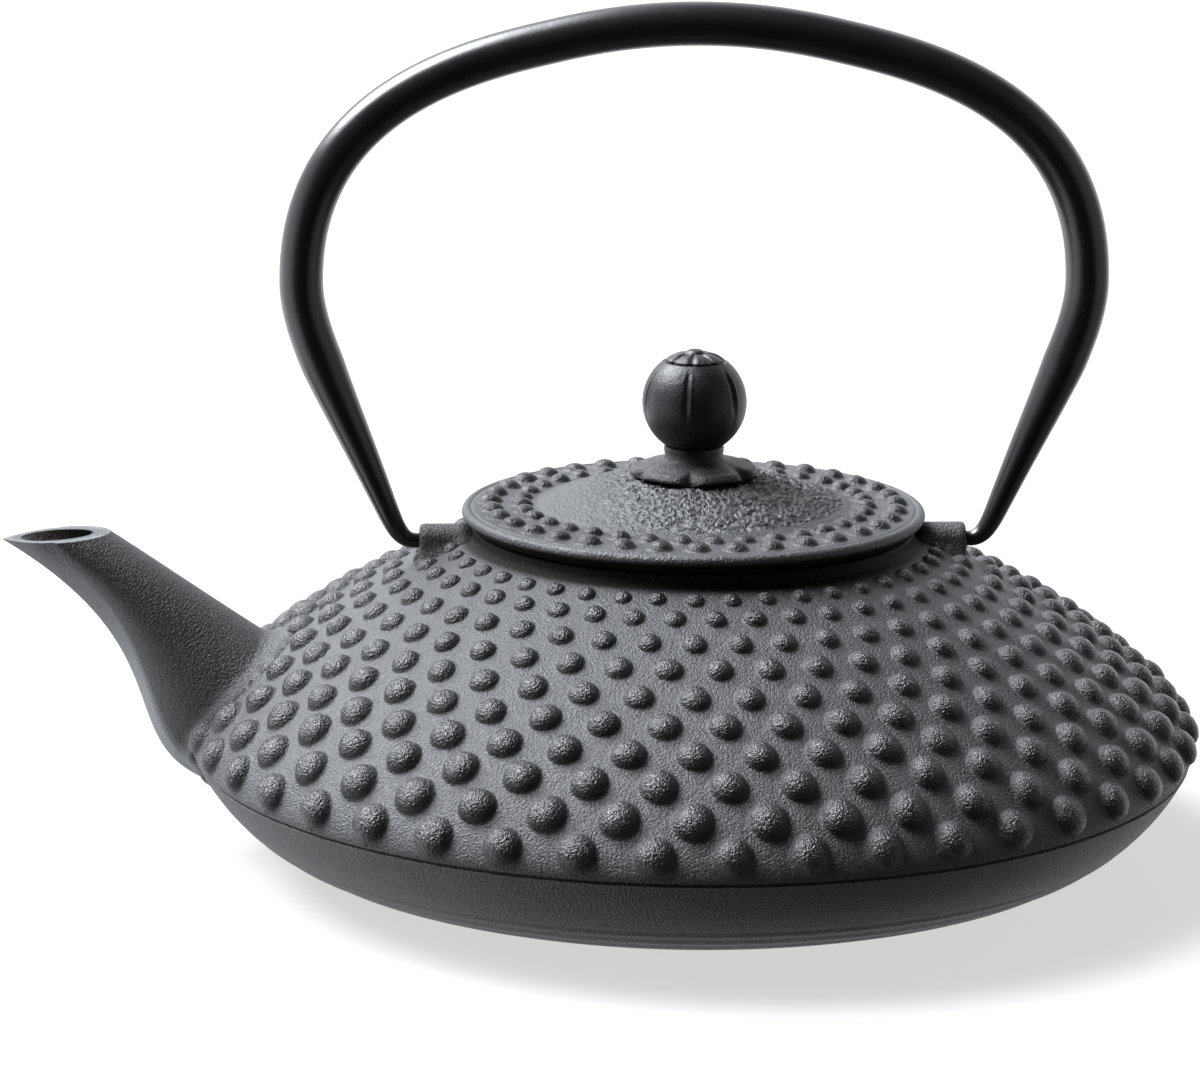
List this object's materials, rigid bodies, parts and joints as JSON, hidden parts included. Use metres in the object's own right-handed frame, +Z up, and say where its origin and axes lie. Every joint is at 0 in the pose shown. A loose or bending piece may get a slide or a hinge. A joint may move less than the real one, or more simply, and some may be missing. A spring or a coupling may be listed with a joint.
{
  "type": "cast iron teapot",
  "caption": "Wide, flat cast iron teapot with a bumped shell, a short spout, a swinging bail handle, a lift-off domed lid and a mesh infuser.",
  "frame": {"origin": "centre of the flat base, on the pot's axis", "axes": "+Z up along the pot's axis, -X towards the spout, X along the bail's pivot axis"},
  "size_m": [0.2397, 0.2026, 0.1714],
  "materials": {
    "body_iron": "matte charcoal sand casting, fine grain",
    "lid_iron": "matte charcoal casting, leathery texture on the dome",
    "knob_iron": "satin black casting",
    "bail_enamel": "satin black enamel",
    "steel": "brushed stainless",
    "woven_steel": "fine woven stainless mesh"
  },
  "bodies": {
    "pot": {"pot_body": "body_iron"},
    "bail": {"bail_handle": "bail_enamel"},
    "infuser": {"infuser_rim": "steel", "infuser_mesh": "woven_steel", "infuser_cup": "steel"},
    "lid": {"lid": "lid_iron", "knob": "knob_iron", "knob_rosette": "knob_iron", "knob_screw": "steel", "knob_washer": "steel"}
  },
  "joints": [
    {"name": "bail_swing", "type": "hinge", "parent": "pot", "child": "bail", "pos_m": [0, 0, 0.0636], "axis": [1, 0, 0], "range_deg": [-100, 100]},
    {"name": "infuser_lift", "type": "slide", "parent": "pot", "child": "infuser", "axis": [0, 0, 1], "range_m": [0, 0.055]},
    {"name": "lid_lift", "type": "slide", "parent": "infuser", "child": "lid", "axis": [0, 0, 1], "range_m": [0, 0.05]}
  ]
}
